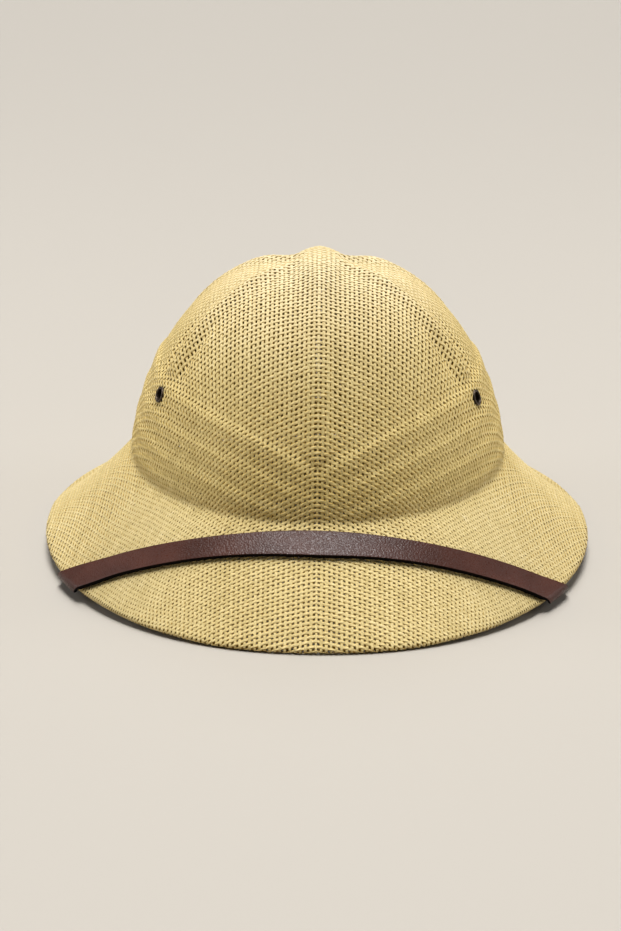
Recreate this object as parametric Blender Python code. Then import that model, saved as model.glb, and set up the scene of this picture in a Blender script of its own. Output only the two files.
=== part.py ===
# Pith helmet: a pressed straw shell, a chin strap over its front brim, four vent eyelets and two strap studs.
# Metres, +Z up, front towards -Y. The rim rests on z = 0 and the crown is centred on the origin.
# Angles round the hat are azimuths: 0 at the front, positive towards +X, 180 degrees at the back.
import math

import bmesh
import bpy
from mathutils import Matrix, Vector

# Plan of the crown where it meets the brim, and of the rim: superellipses
CROWN_HALF_WIDTH = 0.0962
CROWN_HALF_LENGTH = 0.1085
CROWN_PLAN_POWER = 2.3
RIM_HALF_WIDTH = 0.141
RIM_HALF_LENGTH = 0.164
RIM_PLAN_POWER = 2.13

# Heights above the surface that the hat rests on
SIDE_JUNCTION_Z = 0.050
FRONT_JUNCTION_Z = 0.044
CROWN_TOP_Z = 0.147
SIDE_RIM_LIFT = 0.007
FLAT_RIM_ANGLE = 18.0

# Section of the crown, a superellipse that is wider than it is tall, with its top a little behind the middle
CROWN_SIDE_POWER = 2.7
CROWN_HEIGHT_POWER = 1.49
CROWN_TOP_SHIFT = 0.002

# Section of the brim: how far along its reach and its drop it is drawn to, at the front and back and at the sides
BRIM_DRAW_FRONT = (0.52, 0.41)
BRIM_DRAW_SIDE = (0.30, 0.42)
JUNCTION_FILLET = 0.0012
JUNCTION_CROWN_LIFT = 0.05

WALL = 0.002
HEM_HEIGHT = 0.0028
HEM_DEPTH = 0.0029
HEM_ROUND = 0.0008

# Six pressed ribs run up to a low boss. A rib's flat top, its foot, the groove beside it and where that ends.
RIB_ANGLES = (0.0, 61.0, 119.0, 180.0, 241.0, 299.0)
RIB_HEIGHT = 0.0018
RIB_STEPS = ((0.0050, 1.0), (0.0072, 0.0), (0.0095, -0.25), (0.0140, 0.0))
RIB_SHARE_OF_PANEL = 0.8
BOSS_RADIUS = 0.0085
BOSS_FOOT_RADIUS = 0.0130
BOSS_HEIGHT = 0.0030

# The moulded band of slanting pleats: its upper edge climbs from a V at the front and back to the sides
BAND_FRONT_Z = 0.068
BAND_SIDE_Z = 0.0995
BAND_CLIMB_ANGLE = 34.0
PLEAT_DEPTHS = (0.0, 0.0140, 0.0270, 0.0385)
PLEAT_HEIGHTS = (0.0023, 0.0020, 0.0018, 0.0014)
PLEAT_MIDDLE = 0.62
PLEAT_STEP = 0.0013
PLEAT_TAIL = 0.0003
PLEAT_FADE = 0.0040
PLEAT_LEAST_ROW = 0.0001

# Rows of the mesh above the band, as shares of the way from the band to the boss, and down the brim
PANEL_ROWS = (0.03, 0.15, 0.29, 0.44, 0.59, 0.73, 0.86, 1.0)
BOSS_ROWS = (0.0130, 0.0085, 0.0045)
BRIM_ROWS = (0.07, 0.25, 0.5, 0.75, 0.93, 1.0)

GAP = 0.0003

# Chin strap: where it lies on the front brim, and how it goes round the rim and up inside
STRAP_WIDTH = 0.0142
STRAP_THICKNESS = 0.0014
STRAP_FRONT_SHARE = 0.205
STRAP_RIM_ANGLE = 54.0
STRAP_CURVE_POWER = 2.2
STRAP_STAND_OFF = 0.0005 + STRAP_THICKNESS / 2
STRAP_LEVEL_FROM = 0.6
STRAP_BEND_RADIUS = 0.0022
STRAP_BEND_END = math.radians(-135.0)
STRAP_CROSSING = 0.020
STRAP_WALL_RUN = 0.014
STRAP_FRONT_RINGS = 29
STRAP_FOLD_RINGS = 7
STRAP_UNDER_RINGS = 10
STRAP_WALL_RINGS = 6
STRAP_STUD_RING = 3
STRAP_ACROSS = (1.0, 0.33, -0.33, -1.0)

# Vent eyelets, below the side ribs: a rolled flange outside, a barrel through the wall and a turned flange inside
EYELET_ANGLES = (("front_right", 61.0), ("rear_right", 119.0), ("rear_left", 241.0), ("front_left", 299.0))
EYELET_BELOW_BAND = 0.0075
EYELET_HOLE_RADIUS = 0.0024
EYELET_BARREL_RADIUS = 0.0029
EYELET_FLANGE_RADIUS = 0.0042
EYELET_FLANGE_HEIGHT = 0.0014
EYELET_FLANGE_EDGE = 0.0004
EYELET_INNER_FLANGE_RADIUS = 0.0040
EYELET_INNER_FLANGE_HEIGHT = 0.0006
EYELET_SIDES = 14
EYELET_CLEARANCE = 0.0008
EYELET_BORE_LENGTH = 0.012

# Strap studs: plain hidden rivets that hold the strap's ends to the crown's inner wall
STUD_POST_RADIUS = 0.0015
STUD_POST_REACH = 0.0004
STUD_HEAD_RADIUS = 0.0036
STUD_HEAD_HEIGHT = 0.0012
STUD_CROWN = (0.8, 0.7)
STUD_SIDES = 12
STUD_BORE_LENGTH = 0.008

COLOURS = {
    "straw": ((0.69, 0.55, 0.29, 1.0), 0.75, 0.0),
    "brown_leather": ((0.10, 0.055, 0.045, 1.0), 0.42, 0.0),
    "dark_metal": ((0.05, 0.045, 0.04, 1.0), 0.35, 1.0),
}


def plan_point(azimuth, half_width, half_length, power):
    """Point of a superellipse seen from above, at an azimuth measured on its unit circle."""
    s, c = math.sin(azimuth), math.cos(azimuth)
    reach = (abs(s) ** power + abs(c) ** power) ** (-1 / power)
    return Vector((half_width * reach * s, -half_length * reach * c, 0.0))


def junction_z(azimuth):
    return SIDE_JUNCTION_Z + (FRONT_JUNCTION_Z - SIDE_JUNCTION_Z) * math.cos(azimuth) ** 2


def rim_z(azimuth):
    flat = math.sin(math.radians(FLAT_RIM_ANGLE)) ** 2
    return SIDE_RIM_LIFT * max(0.0, (math.sin(azimuth) ** 2 - flat) / (1 - flat))


def band_z(azimuth):
    """Height of the pleated band's upper edge, the same on all four quarters."""
    from_front = math.degrees(math.asin(min(1.0, abs(math.sin(azimuth)))))
    climb = (1 - math.exp(-from_front / BAND_CLIMB_ANGLE)) / (1 - math.exp(-90 / BAND_CLIMB_ANGLE))
    return BAND_FRONT_Z + (BAND_SIDE_Z - BAND_FRONT_Z) * climb


def crown_base(azimuth, lift):
    """Smooth crown without relief. lift runs from 0 at the brim to a quarter turn at the top."""
    share = max(0.0, math.cos(lift)) ** (2 / CROWN_SIDE_POWER)
    low = junction_z(azimuth)
    point = plan_point(azimuth, CROWN_HALF_WIDTH, CROWN_HALF_LENGTH, CROWN_PLAN_POWER) * share
    point.y += CROWN_TOP_SHIFT * (1 - share)
    point.z = low + (CROWN_TOP_Z - low) * math.sin(lift) ** (2 / CROWN_HEIGHT_POWER)
    return point


def lift_at_height(azimuth, z):
    low = junction_z(azimuth)
    return math.asin(min(1.0, max(0.0, (z - low) / (CROWN_TOP_Z - low))) ** (CROWN_HEIGHT_POWER / 2))


def lift_at_radius(azimuth, radius):
    share = radius / plan_point(azimuth, CROWN_HALF_WIDTH, CROWN_HALF_LENGTH, CROWN_PLAN_POWER).length
    return math.acos(share ** (CROWN_SIDE_POWER / 2))


def brim_base(azimuth, share):
    """Smooth brim without relief, from the crown (share 0) to the top of the hem (share 1)."""
    start = plan_point(azimuth, CROWN_HALF_WIDTH, CROWN_HALF_LENGTH, CROWN_PLAN_POWER)
    start.z = junction_z(azimuth)
    end = plan_point(azimuth, RIM_HALF_WIDTH, RIM_HALF_LENGTH, RIM_PLAN_POWER)
    end.z = rim_z(azimuth) + HEM_HEIGHT
    at_front = math.cos(azimuth) ** 2
    reach, drop = (side + (front - side) * at_front for front, side in zip(BRIM_DRAW_FRONT, BRIM_DRAW_SIDE))
    middle = start.lerp(end, reach)
    middle.z = start.z + (end.z - start.z) * drop
    return start * (1 - share) ** 2 + middle * 2 * share * (1 - share) + end * share**2


def normal_of(base, azimuth, along):
    """Outward normal of crown_base or brim_base, from two short steps on it."""
    step = 1e-4
    along = min(max(along, step), math.pi / 2 - step)
    round_it = base(azimuth + step, along) - base(azimuth - step, along)
    down_it = base(azimuth, along + step) - base(azimuth, along - step)
    if base is crown_base:
        down_it = -down_it
    return down_it.cross(round_it).normalized()


def place(base, azimuth, along, relief):
    """Outer and inner point of the wall, where the pressed relief moves both."""
    point = base(azimuth, along)
    normal = normal_of(base, azimuth, along)
    return point + normal * relief, point + normal * (relief - WALL)


def rib_columns(radius_share):
    """Azimuth and rib relief of each column of the mesh, at a share of the crown's plan radius."""
    columns = []
    turns = [math.radians(angle) for angle in RIB_ANGLES]
    turns.append(turns[0] + 2 * math.pi)
    for rib, following in zip(turns, turns[1:]):
        half = (following - rib) / 2
        widest = RIB_SHARE_OF_PANEL * half
        from_rib = [(0.0, 1.0)]
        for offset, relief in RIB_STEPS:
            pace = math.hypot(CROWN_HALF_WIDTH * math.cos(rib), CROWN_HALF_LENGTH * math.sin(rib))
            open_angle = offset / (pace * radius_share)
            narrow_angle = widest * offset / RIB_STEPS[-1][0]
            from_rib.append((min(open_angle, narrow_angle), relief))
        last = from_rib[-1][0]
        from_rib.append(((last + half) / 2, 0.0))
        columns += [(rib + turn, relief) for turn, relief in from_rib]
        columns.append((rib + half, 0.0))
        columns += [(following - turn, relief) for turn, relief in reversed(from_rib[1:])]
    return columns


def boss_relief(radius):
    fall = (radius - BOSS_RADIUS) / (BOSS_FOOT_RADIUS - BOSS_RADIUS)
    return BOSS_HEIGHT * min(1.0, max(0.0, 1 - fall))


def panel_lift(azimuth, share):
    """Lift at a share of the way from the band's upper edge to the foot of the boss."""
    low = lift_at_height(azimuth, band_z(azimuth))
    return low + (lift_at_radius(azimuth, BOSS_FOOT_RADIUS) - low) * share


def band_rows():
    """Depth below the band's upper edge and relief of each row of the pleated band, from the top down."""
    rows = []
    tails = (0.0,) + tuple([PLEAT_TAIL] * (len(PLEAT_DEPTHS) - 1))
    for depth, height, tail in zip(PLEAT_DEPTHS, PLEAT_HEIGHTS, tails):
        rows.append((depth, tail))
        rows.append((depth + PLEAT_STEP, height))
    ends = PLEAT_DEPTHS[1:] + (BAND_SIDE_Z - SIDE_JUNCTION_Z,)
    middles = [
        ((start + PLEAT_STEP + end) / 2, height * PLEAT_MIDDLE)
        for start, end, height in zip(PLEAT_DEPTHS, ends, PLEAT_HEIGHTS)
    ]
    return sorted(rows + middles)


def shell_rings():
    """Rings of the shell from the top down: each a list of outer and inner points."""
    rings = []
    for radius in reversed(BOSS_ROWS):
        ring = []
        for azimuth, rib in rib_columns(radius / CROWN_HALF_WIDTH):
            boss = boss_relief(radius)
            relief = boss + rib * RIB_HEIGHT * (1 - boss / BOSS_HEIGHT)
            ring.append(place(crown_base, azimuth, lift_at_radius(azimuth, radius), relief))
        rings.append(ring)
    for share in reversed(PANEL_ROWS[:-1]):
        ring = []
        at_side_rib = panel_lift(math.radians(RIB_ANGLES[1]), share)
        for azimuth, rib in rib_columns(math.cos(at_side_rib) ** (2 / CROWN_SIDE_POWER)):
            ring.append(place(crown_base, azimuth, panel_lift(azimuth, share), rib * RIB_HEIGHT))
        rings.append(ring)
    rows = band_rows()
    for number, (depth, relief) in enumerate(rows):
        ring = []
        for azimuth, _ in rib_columns(1.0):
            low = junction_z(azimuth)
            above = band_z(azimuth) - depth - low
            fade = 1.0
            if above < PLEAT_FADE:
                above = PLEAT_FADE * math.exp(above / PLEAT_FADE - 1)
                fade = above / PLEAT_FADE
            above += PLEAT_LEAST_ROW * (len(rows) - number)
            ring.append(place(crown_base, azimuth, lift_at_height(azimuth, low + above), relief * fade))
        rings.append(ring)
    ring = []
    for azimuth, _ in rib_columns(1.0):
        point = brim_base(azimuth, 0.0)
        normal = (normal_of(crown_base, azimuth, JUNCTION_CROWN_LIFT) + normal_of(brim_base, azimuth, 0.0)).normalized()
        ring.append((point + normal * JUNCTION_FILLET, point + normal * (JUNCTION_FILLET - WALL)))
    rings.append(ring)
    for share in BRIM_ROWS:
        rings.append([place(brim_base, azimuth, share, 0.0) for azimuth, _ in rib_columns(1.0)])
    return rings


def hem_rings():
    """Rings that turn the rim under: down its outside, across its flat foot and up to the inner wall."""
    turned = ((0.0, HEM_ROUND), (-HEM_ROUND, 0.0), (-HEM_DEPTH, 0.0), (-HEM_DEPTH - HEM_ROUND, HEM_ROUND))
    rings = []
    for inward, up in turned:
        ring = []
        for azimuth, _ in rib_columns(1.0):
            rim = brim_base(azimuth, 1.0)
            outward = normal_of(brim_base, azimuth, 1.0)
            outward.z = 0.0
            ring.append(rim + outward.normalized() * inward + Vector((0, 0, rim_z(azimuth) + up - rim.z)))
        rings.append(ring)
    return rings


def skin(bm, rings, closed_ends):
    """Quads between neighbouring rings of points, with a fan to a point or a cap at each end."""
    loops = [[bm.verts.new(point) for point in ring] for ring in rings]
    for first, second in zip(loops, loops[1:]):
        for i in range(len(first)):
            j = (i + 1) % len(first)
            bm.faces.new((first[i], first[j], second[j], second[i]))
    for loop, end in zip((loops[0], loops[-1]), closed_ends):
        if end is None:
            bm.faces.new(loop)
            continue
        tip = bm.verts.new(end)
        for i in range(len(loop)):
            bm.faces.new((loop[i], loop[(i + 1) % len(loop)], tip))
    bmesh.ops.recalc_face_normals(bm, faces=bm.faces)


def material(name):
    colour, roughness, metallic = COLOURS[name]
    found = bpy.data.materials.get(name)
    if found:
        return found
    made = bpy.data.materials.new(name)
    made.use_nodes = True
    shader = made.node_tree.nodes["Principled BSDF"]
    shader.inputs["Base Color"].default_value = colour
    shader.inputs["Roughness"].default_value = roughness
    shader.inputs["Metallic"].default_value = metallic
    return made


def add_object(name, bm, material_name, sharp_angle=35.0):
    mesh = bpy.data.meshes.new(name)
    bm.to_mesh(mesh)
    bm.free()
    mesh.shade_smooth()
    mesh.set_sharp_from_angle(angle=math.radians(sharp_angle))
    mesh.materials.append(material(material_name))
    made = bpy.data.objects.new(name, mesh)
    bpy.context.scene.collection.objects.link(made)
    return made


def add_cut(target, centre, axis, radius, length):
    """Bores a round hole of this length through the target, centred on a point."""
    bm = bmesh.new()
    bmesh.ops.create_cone(bm, cap_ends=True, segments=16, radius1=radius, radius2=radius, depth=length)
    mesh = bpy.data.meshes.new("cutter")
    bm.to_mesh(mesh)
    bm.free()
    cutter = bpy.data.objects.new("cutter", mesh)
    bpy.context.scene.collection.objects.link(cutter)
    cutter.matrix_world = Matrix.Translation(centre) @ axis.to_track_quat("Z", "Y").to_matrix().to_4x4()
    cutter.hide_render = True
    cutter.display_type = "WIRE"
    hole = target.modifiers.new("hole", "BOOLEAN")
    hole.operation = "DIFFERENCE"
    hole.object = cutter


def add_shell():
    rings = shell_rings()
    outer = [[points[0] for points in ring] for ring in rings]
    inner = [[points[1] for points in ring] for ring in reversed(rings[:-1])]
    top = crown_base(0.0, math.pi / 2)
    outer_top = top + Vector((0, 0, BOSS_HEIGHT))
    inner_top = top + Vector((0, 0, BOSS_HEIGHT - WALL))
    bm = bmesh.new()
    skin(bm, outer + hem_rings() + inner, (outer_top, inner_top))
    return add_object("shell", bm, "straw")


def turned(name, profile, sides, material_name, seat, axis):
    """A closed profile of radius and height pairs, spun round the axis at the seat."""
    bm = bmesh.new()
    verts = [bm.verts.new((radius, 0.0, height)) for radius, height in profile]
    edges = [bm.edges.new((verts[i - 1], verts[i])) for i in range(len(verts))]
    bmesh.ops.spin(
        bm, geom=verts + edges, cent=(0, 0, 0), axis=(0, 0, 1), angle=2 * math.pi, steps=sides, use_merge=True
    )
    bmesh.ops.remove_doubles(bm, verts=bm.verts, dist=1e-7)
    bmesh.ops.recalc_face_normals(bm, faces=bm.faces)
    made = add_object(name, bm, material_name)
    made.matrix_world = Matrix.Translation(seat) @ axis.to_track_quat("Z", "Y").to_matrix().to_4x4()
    return made


def add_eyelet(shell, label, angle):
    azimuth = math.radians(angle)
    height = band_z(azimuth) - EYELET_BELOW_BAND
    lift = lift_at_height(azimuth, height)
    base = crown_base(azimuth, lift)
    # The pleat leans, so the seat and its axis are taken from two points of the pleat's own slope.
    fall = PLEAT_HEIGHTS[0] * (PLEAT_MIDDLE - 1.0) / ((PLEAT_DEPTHS[1] - PLEAT_STEP) / 2)
    relief = PLEAT_HEIGHTS[0] + fall * (EYELET_BELOW_BAND - PLEAT_STEP)
    normal = normal_of(crown_base, azimuth, lift)
    along = (crown_base(azimuth, lift_at_height(azimuth, height - 0.001)) - base).normalized()
    axis = (normal - along * fall).normalized()
    seat = base + normal * relief
    hole, barrel, flange = EYELET_HOLE_RADIUS, EYELET_BARREL_RADIUS, EYELET_FLANGE_RADIUS
    lip = EYELET_CLEARANCE
    top = lip + EYELET_FLANGE_HEIGHT
    inside = -WALL - EYELET_CLEARANCE
    profile = [
        (hole, top - EYELET_FLANGE_EDGE),
        ((hole + flange) / 2, top),
        (flange - EYELET_FLANGE_EDGE, top - EYELET_FLANGE_EDGE),
        (flange, lip),
        (barrel, lip),
        (barrel, inside),
        (EYELET_INNER_FLANGE_RADIUS, inside),
        (EYELET_INNER_FLANGE_RADIUS, inside - EYELET_INNER_FLANGE_HEIGHT),
        (hole, inside - EYELET_INNER_FLANGE_HEIGHT),
    ]
    turned("eyelet_" + label, profile, EYELET_SIDES, "dark_metal", seat, axis)
    add_cut(shell, seat, axis, barrel + GAP, EYELET_BORE_LENGTH)


def slant_length(azimuth):
    points = [brim_base(azimuth, i / 12) for i in range(13)]
    return sum((b - a).length for a, b in zip(points, points[1:]))


def strap_section(azimuth):
    """Lengths of the strap's way round the rim at an azimuth: the bend's radius, its start angle and the two arcs'
    ends, measured down from where the brim's top meets the hem."""
    outward = normal_of(brim_base, azimuth, 1.0)
    start = math.asin(outward.z)
    radius = STRAP_BEND_RADIUS + STRAP_STAND_OFF
    arc = radius * (start - STRAP_BEND_END)
    return outward, start, radius, arc


def strap_seat(azimuth, run):
    """Middle of the strap's thickness and the normal of its face. run is the distance from where the brim's top
    meets the hem: below zero it lies on the brim, above zero it bends round the hem, crosses to the brim's
    underside and follows that and then the crown's inner wall."""
    slant = slant_length(azimuth)
    outward, start, radius, arc = strap_section(azimuth)
    if run <= 0:
        share = 1 + run / slant
        normal = normal_of(brim_base, azimuth, share)
        return brim_base(azimuth, share) + normal * STRAP_STAND_OFF, normal
    flat = Vector((outward.x, outward.y, 0)).normalized()
    centre = brim_base(azimuth, 1.0) - outward * STRAP_BEND_RADIUS

    def on_bend(angle):
        out = flat * math.cos(angle) + Vector((0, 0, math.sin(angle)))
        return centre + out * radius, out

    if run <= arc:
        return on_bend(start - run / radius)
    share = 1 - STRAP_CROSSING / slant
    normal = normal_of(brim_base, azimuth, share)
    landing = brim_base(azimuth, share) - normal * (WALL + STRAP_STAND_OFF)
    leaving, out = on_bend(STRAP_BEND_END)
    crossing = (landing - leaving).length
    beyond = run - arc - crossing
    if beyond < 0:
        way = 1 + beyond / crossing
        return leaving.lerp(landing, way), out.slerp(-normal, way)
    share -= beyond / slant
    if share >= 0:
        normal = normal_of(brim_base, azimuth, share)
        return brim_base(azimuth, share) - normal * (WALL + STRAP_STAND_OFF), -normal
    lift = lift_at_height(azimuth, junction_z(azimuth) - share * slant)
    normal = normal_of(crown_base, azimuth, lift)
    return crown_base(azimuth, lift) - normal * (WALL + STRAP_STAND_OFF), -normal


def strap_stations():
    """Centre of each ring of the strap's right half: azimuth, run, the path's angle to the rim and how far the
    ring is turned from square across the strap to level with the rim."""
    rim_azimuth = math.radians(STRAP_RIM_ANGLE)
    stations = []
    for i in range(STRAP_FRONT_RINGS):
        way = i / (STRAP_FRONT_RINGS - 1)
        azimuth = rim_azimuth * way
        share = STRAP_FRONT_SHARE + (1 - STRAP_FRONT_SHARE) * way**STRAP_CURVE_POWER
        slope = (1 - STRAP_FRONT_SHARE) * STRAP_CURVE_POWER * way ** (STRAP_CURVE_POWER - 1) / rim_azimuth
        slant = slant_length(azimuth)
        angle = math.atan2(slope * slant, speed(azimuth, share))
        stations.append((azimuth, (share - 1) * slant, angle, max(0.0, (way - STRAP_LEVEL_FROM) / (1 - STRAP_LEVEL_FROM))))
    azimuth, run, angle, level = stations[-1]
    arc = strap_section(azimuth)[3]
    under = slant_length(azimuth) - STRAP_CROSSING
    steps = [arc / STRAP_FOLD_RINGS] * STRAP_FOLD_RINGS
    steps += [(under + STRAP_CROSSING) / STRAP_UNDER_RINGS] * STRAP_UNDER_RINGS
    steps += [STRAP_WALL_RUN / STRAP_WALL_RINGS] * STRAP_WALL_RINGS
    for number, step in enumerate(steps):
        share = min(1.0, max(0.0, 1 - (run - arc) / slant_length(azimuth)))
        azimuth += step / math.tan(angle) / speed(azimuth, share)
        run += step
        squared = (number + 1 - STRAP_FOLD_RINGS - STRAP_UNDER_RINGS) / STRAP_WALL_RINGS
        stations.append((azimuth, run, angle, 1 - max(0.0, squared)))
    return stations


def strap_ring(azimuth, run, angle, level):
    """The strap's section: points across its outer face, then back across the face that lies on the hat."""
    share = min(1.0, max(0.0, 1 - abs(run) / slant_length(azimuth)))
    slide = -level / math.tan(angle) if level else 0.0
    round_it = (-math.sin(angle) + slide * math.cos(angle)) * STRAP_WIDTH / 2 / speed(azimuth, share)
    down_it = (math.cos(angle) + slide * math.sin(angle)) * STRAP_WIDTH / 2
    across = [strap_seat(azimuth + side * round_it, run + side * down_it) for side in STRAP_ACROSS]
    outer = [point + normal * STRAP_THICKNESS / 2 for point, normal in across]
    inner = [point - normal * STRAP_THICKNESS / 2 for point, normal in across]
    return outer + inner[::-1]


def speed(azimuth, share):
    """Distance along a level line of the brim for each radian of azimuth."""
    step = 1e-3
    return (brim_base(azimuth + step, share) - brim_base(azimuth - step, share)).length / (2 * step)


def add_strap():
    stations = strap_stations()
    right = [strap_ring(*station) for station in stations]
    left = [[Vector((-point.x, point.y, point.z)) for point in ring] for ring in right[:0:-1]]
    bm = bmesh.new()
    skin(bm, left + right, (None, None))
    strap = add_object("chin_strap", bm, "brown_leather")
    path = [sum(ring, Vector()) / len(ring) for ring in right]
    length = 2 * sum((b - a).length for a, b in zip(path, path[1:]))
    print(f"chin strap: {length * 1000:.0f} mm long")
    azimuth, run = stations[-STRAP_STUD_RING][:2]
    for label, side in (("right", 1), ("left", -1)):
        seat, normal = strap_seat(azimuth, run)
        seat.x *= side
        normal.x *= side
        add_cut(strap, seat, normal, STUD_POST_RADIUS + GAP, STUD_BORE_LENGTH)
        post = -STRAP_STAND_OFF - STUD_POST_REACH
        head = STRAP_THICKNESS / 2 + GAP
        profile = [
            (0.0, post),
            (STUD_POST_RADIUS, post),
            (STUD_POST_RADIUS, head),
            (STUD_HEAD_RADIUS, head),
            (STUD_HEAD_RADIUS * STUD_CROWN[0], head + STUD_HEAD_HEIGHT * STUD_CROWN[1]),
            (0.0, head + STUD_HEAD_HEIGHT),
        ]
        turned("strap_stud_" + label, profile, STUD_SIDES, "dark_metal", seat, normal)


def main():
    for old in list(bpy.data.objects):
        bpy.data.objects.remove(old, do_unlink=True)
    shell = add_shell()
    for label, angle in EYELET_ANGLES:
        add_eyelet(shell, label, angle)
    add_strap()


main()
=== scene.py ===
import math

import bmesh
import bpy
import numpy as np
from mathutils import Matrix, Vector


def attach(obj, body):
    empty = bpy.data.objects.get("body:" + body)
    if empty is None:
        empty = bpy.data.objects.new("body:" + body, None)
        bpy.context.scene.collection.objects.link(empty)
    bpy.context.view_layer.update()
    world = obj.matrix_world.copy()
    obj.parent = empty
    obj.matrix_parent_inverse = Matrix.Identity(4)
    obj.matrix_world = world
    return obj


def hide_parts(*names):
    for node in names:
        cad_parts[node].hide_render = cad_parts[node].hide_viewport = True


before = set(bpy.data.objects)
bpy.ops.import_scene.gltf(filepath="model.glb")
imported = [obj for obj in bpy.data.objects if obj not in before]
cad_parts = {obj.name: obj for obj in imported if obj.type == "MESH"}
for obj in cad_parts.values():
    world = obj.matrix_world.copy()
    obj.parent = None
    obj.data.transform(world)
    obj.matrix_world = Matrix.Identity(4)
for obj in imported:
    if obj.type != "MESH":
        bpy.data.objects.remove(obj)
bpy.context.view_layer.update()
print("frame loaded:", len(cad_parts), "nodes")

# Hat form in metres, front towards -Y, azimuths from the front towards +X
hat = {
    "crownHalfWidth": 0.0962,
    "crownHalfLength": 0.1085,
    "crownPlanPower": 2.3,
    "rimHalfWidth": 0.141,
    "rimHalfLength": 0.164,
    "rimPlanPower": 2.13,
    "sideJunction": 0.050,
    "frontJunction": 0.044,
    "top": 0.147,
    "sideRimLift": 0.007,
    "flatRimAngle": 18.0,
    "crownSidePower": 2.7,
    "crownHeightPower": 1.49,
    "topShift": 0.002,
    "brimDrawFront": (0.52, 0.41),
    "brimDrawSide": (0.30, 0.42),
    "hemHeight": 0.0028,
    "wall": 0.002,
    "ribAngles": (0.0, 61.0, 119.0),
    "ribHeight": 0.0018,
    "ribEnd": 0.0170,
    "ribSwell": 0.0060,  # half width of the rounded rib
    "ribGroove": (0.0094, 0.0031),  # place and half width of the groove beside a rib
    "grooveShares": (0.25, 0.75, 0.60),  # its depth as a share of the rib's height, rib by rib
    "grooveStart": (0.60, 0.16),
    "ribShareOfPanel": 0.9,
    "frontPleat": (0.0066, 0.0026, 0.0024, 0.0007),  # two low folds beside the middle of the front rib, and the crease between
    "ribStart": 0.0060,
    "ribHumps": (0.033, 0.013, 0.55),  # the ribs swell near the top: how far out, half width, share added
    "topSink": 0.0022,  # the cloth round the boss lies a little lower
    "sinkWay": (0.050, 0.095),
    "backDrop": 0.0052,  # the brim lies lower behind the middle
    "backDropFrom": (0.005, 0.042),
    "backDropHeights": (-0.004, 0.034, 0.050, 0.045),  # height where it starts and how soon, the same for its end
    "bossReach": (0.0125, 0.0360),  # sideways and from front to back
    "bossPower": 3.8,
    "bossHeight": 0.0030,
    "bandFront": 0.068,
    "bandSide": 0.0995,
    "bandClimb": 34.0,
    "pleatDepths": (0.0, 0.0140, 0.0270, 0.0385),
    "pleatHeights": (0.0015, 0.0012, 0.0011, 0.0009),
    "pleatMiddle": 0.62,
    "pleatStep": 0.0013,
    "pleatTail": 0.0003,
    "pleatFade": 0.0040,
    "pleatMeet": (0.40, 10.0),  # the pleats run out where they meet in front: share kept, degrees
}

# Grid of the pressed form over one quarter, which the cloth is laid on
form = {
    "azimuthCells": 552,
    "overTurn": 1.0,  # degrees past the quarter on both sides
    "runCells": 900,
    "runEnd": 0.2440,
    "creaseWidth": 0.0030,
    "creaseSmoothing": 50,
    "reliefSmoothing": 60,
}

# The cloth: one plain weave of twisted straw yarn, pressed over the form
weave = {
    "lengthwisePitch": 0.00238,  # between yarns that run from front to back
    "crosswisePitch": 0.00250,
    "depth": 0.00055,  # middle of the cloth below the pressed surface
    "rise": 0.00014,  # of a yarn over the other family, and its dip under it
    "lengthwiseOffset": -0.00003,  # how much further out a family lies
    "crosswiseOffset": 0.00005,
    "lengthwiseHalfWidth": 0.00090,
    "crosswiseHalfWidth": 0.00096,
    "backWider": (0.22, 0.030),  # the back half is woven closer: girth, share of the free room
    "backFrom": (-0.045, 0.085),
    "sideFrom": (0.050, 0.045),  # at the brim's sides the lengthwise yarns are wider and lie on top
    "sideBelow": (0.058, 0.012),
    "sideWider": 0.14,
    "sideShift": (0.00010, -0.00006),
    "mostOfPitch": 0.47,  # of the free room beside a yarn
    "flatness": 0.30,
    "sides": 5,
    "overBulge": 1.03,
    "diveWaist": 0.97,
    "foldRadius": 0.00090,
    "foldGirth": 0.86,
    "foldBack": 0.0022,
    "unevenGirth": 0.05,
    "unevenPlace": 0.00010,
    "kinkDrop": 0.0160,  # crosswise yarns peak at the front and back ribs
    "kinkWidth": 0.0360,
    "kinkRound": 0.0075,
    "kinkFrom": (0.015, 0.075),  # run where the peak starts, and over how long
    "kinkTo": (0.150, 0.080),
    "kinkLost": 0.55,
    "columns": ((0.0, 0.0018, -0.22), (0.0070, 0.0024, 0.22), (-0.0052, 0.0024, 0.14), (0.0122, 0.0020, -0.16)),
    "columnsFrom": (0.072, 0.035),  # slack and close columns along the front rib: place, half width, change
    "seed": 11,
}


def planCurve(azimuth, halfWidth, halfLength, power):
    s, c = np.sin(azimuth), np.cos(azimuth)
    reach = (np.abs(s) ** power + np.abs(c) ** power) ** (-1 / power)
    return np.stack([halfWidth * reach * s, -halfLength * reach * c], -1)


def crownPlan(azimuth):
    return planCurve(azimuth, hat["crownHalfWidth"], hat["crownHalfLength"], hat["crownPlanPower"])


def rimPlan(azimuth):
    return planCurve(azimuth, hat["rimHalfWidth"], hat["rimHalfLength"], hat["rimPlanPower"])


def junctionHeight(azimuth):
    return hat["sideJunction"] + (hat["frontJunction"] - hat["sideJunction"]) * np.cos(azimuth) ** 2


def rimHeight(azimuth):
    flat = math.sin(math.radians(hat["flatRimAngle"])) ** 2
    return hat["sideRimLift"] * np.maximum(0, (np.sin(azimuth) ** 2 - flat) / (1 - flat))


def bandHeight(azimuth):
    fromFront = np.degrees(np.arcsin(np.minimum(1, np.abs(np.sin(azimuth)))))
    climb = (1 - np.exp(-fromFront / hat["bandClimb"])) / (1 - math.exp(-90 / hat["bandClimb"]))
    return hat["bandFront"] + (hat["bandSide"] - hat["bandFront"]) * climb


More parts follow.
